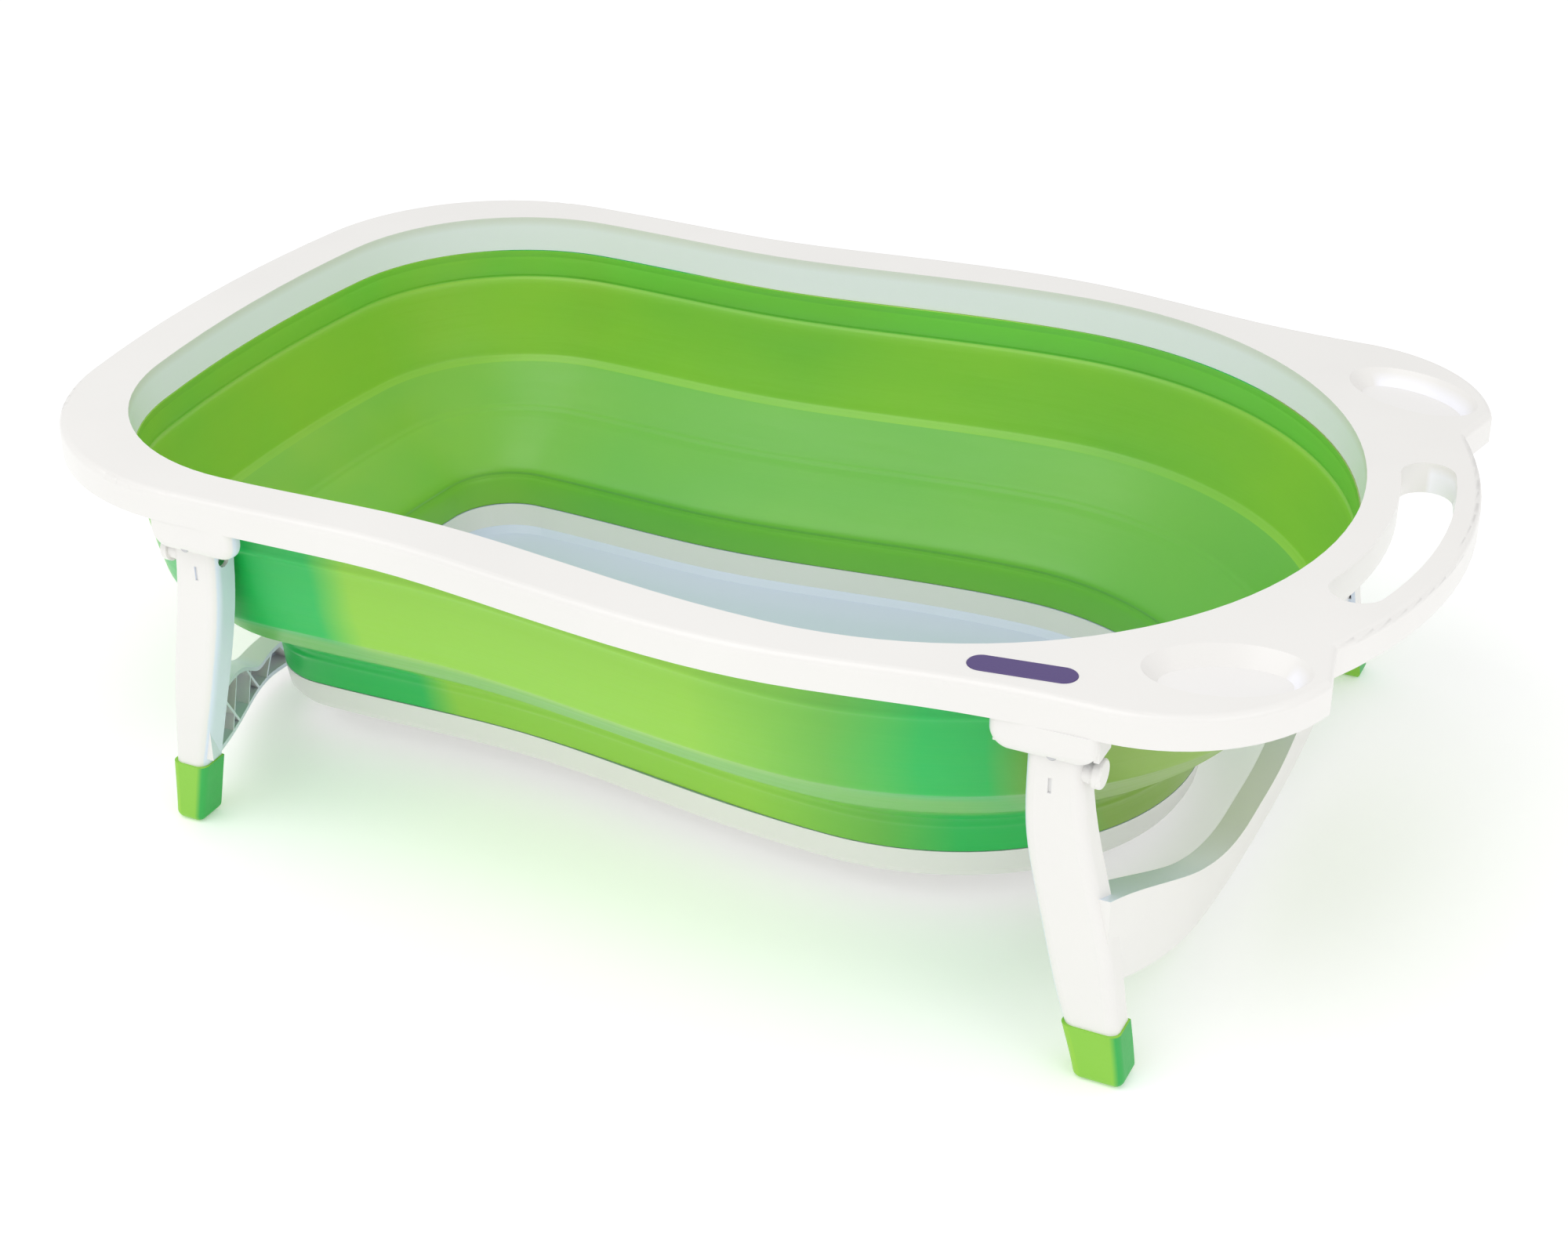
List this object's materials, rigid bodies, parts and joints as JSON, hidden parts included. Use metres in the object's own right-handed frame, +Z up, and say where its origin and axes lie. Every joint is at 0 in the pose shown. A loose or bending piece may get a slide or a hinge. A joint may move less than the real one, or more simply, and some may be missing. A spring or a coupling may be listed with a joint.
{
  "type": "folding baby bathtub",
  "caption": "Folding baby bathtub: a rigid rim with a carrying handle on two folding leg frames, and a soft stepped wall that collapses into the rim.",
  "frame": {"origin": "on the floor, under the middle of the tub's overall length and width", "axes": "+X to the carrying handle at the foot end, +Y to the left side, +Z up"},
  "size_m": [0.8339, 0.544, 0.2304],
  "materials": {
    "white_plastic": "satin moulded plastic",
    "pan_plastic": "satin moulded plastic",
    "white_button": "satin moulded plastic",
    "green_soft": "soft satin elastomer",
    "green_rigid": "satin moulded plastic",
    "green_grip": "soft matte elastomer",
    "grey_rubber": "matte rubber",
    "purple_plastic": "gloss",
    "steel": "zinc plated",
    "spring_steel": "spring wire"
  },
  "bodies": {
    "rim": {"rim_frame": "white_plastic", "tub_wall": "green_soft", "badge_plate": "purple_plastic", "bracket_screws": "steel", "bracket_head_left": "white_plastic", "bracket_head_right": "white_plastic", "bracket_foot_left": "white_plastic", "bracket_foot_right": "white_plastic", "hinge_pin_head_left": "steel", "hinge_pin_head_right": "steel", "hinge_pin_foot_left": "steel", "hinge_pin_foot_right": "steel"},
    "base": {"tub_base": "pan_plastic", "drain_seal": "grey_rubber"},
    "plug": {"drain_plug": "green_rigid"},
    "head_legs": {"head_leg_frame": "white_plastic", "foot_cap_head_left": "green_grip", "foot_cap_head_right": "green_grip", "lock_spring_head_left": "spring_steel", "lock_spring_head_right": "spring_steel"},
    "button_head_left": {"lock_button_head_left": "white_button"},
    "button_head_right": {"lock_button_head_right": "white_button"},
    "foot_legs": {"foot_leg_frame": "white_plastic", "foot_cap_foot_left": "green_grip", "foot_cap_foot_right": "green_grip", "lock_spring_foot_left": "spring_steel", "lock_spring_foot_right": "spring_steel"},
    "button_foot_left": {"lock_button_foot_left": "white_button"},
    "button_foot_right": {"lock_button_foot_right": "white_button"}
  },
  "joints": [
    {"name": "tub_collapse", "type": "slide", "parent": "rim", "child": "base", "axis": [0, 0, 1], "range_m": [0, 0.145], "deforming": ["tub_wall"]},
    {"name": "drain_plug_lift", "type": "slide", "parent": "base", "child": "plug", "axis": [0, 0, 1], "range_m": [0, 0.015]},
    {"name": "head_leg_fold", "type": "hinge", "parent": "rim", "child": "head_legs", "pos_m": [-0.251, 0, 0.196], "axis": [0, -1, 0], "range_deg": [0, 90]},
    {"name": "button_head_left_press", "type": "slide", "parent": "head_legs", "child": "button_head_left", "axis": [1, 0, 0], "range_m": [0, 0.004], "stiffness_N_per_m": 300, "springref_m": -0.001},
    {"name": "button_head_right_press", "type": "slide", "parent": "head_legs", "child": "button_head_right", "axis": [1, 0, 0], "range_m": [0, 0.004], "stiffness_N_per_m": 300, "springref_m": -0.001},
    {"name": "foot_leg_fold", "type": "hinge", "parent": "rim", "child": "foot_legs", "pos_m": [0.272, 0, 0.196], "axis": [0, 1, 0], "range_deg": [0, 90]},
    {"name": "button_foot_left_press", "type": "slide", "parent": "foot_legs", "child": "button_foot_left", "axis": [-1, 0, 0], "range_m": [0, 0.004], "stiffness_N_per_m": 300, "springref_m": -0.001},
    {"name": "button_foot_right_press", "type": "slide", "parent": "foot_legs", "child": "button_foot_right", "axis": [-1, 0, 0], "range_m": [0, 0.004], "stiffness_N_per_m": 300, "springref_m": -0.001}
  ],
  "couplings": [
    {"joint": "head_leg_fold", "follows": "tub_collapse", "rad_per_m": 10.83},
    {"joint": "foot_leg_fold", "follows": "tub_collapse", "rad_per_m": 10.83}
  ]
}
